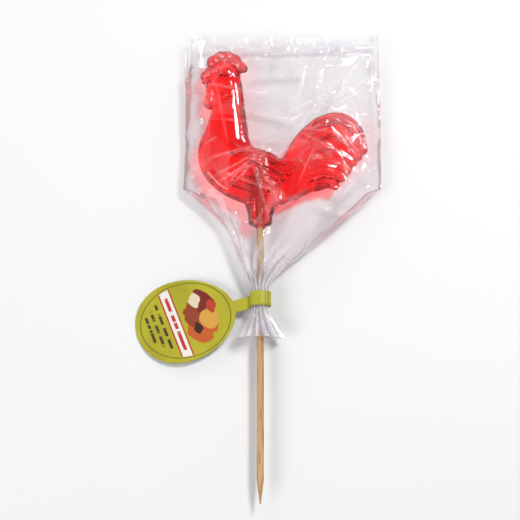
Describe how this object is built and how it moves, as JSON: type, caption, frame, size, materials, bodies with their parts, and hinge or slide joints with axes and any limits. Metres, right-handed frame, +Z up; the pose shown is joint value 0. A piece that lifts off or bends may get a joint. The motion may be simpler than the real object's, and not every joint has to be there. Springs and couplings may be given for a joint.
{
  "type": "rooster lollipop",
  "caption": "Clear red hard candy moulded as a rooster on a pointed wooden skewer, shut in a see-through film bag gathered at the neck, with an oval paper label.",
  "frame": {"origin": "middle of the footprint, on the surface that the lollipop lies on", "axes": "+Y along the skewer towards the rooster's comb, +X towards its tail, +Z up from the surface, through the side that shows"},
  "size_m": [0.1032, 0.1986, 0.0147],
  "materials": {
    "candy": "clear, glossy boiled sugar, bright red",
    "stick": "plain, matte",
    "film": "clear, glossy, creased",
    "label": "satin card, printed"
  },
  "bodies": {
    "root": {"candy": "candy", "stick": "stick", "film_bag": "film", "label": "label"}
  },
  "joints": []
}
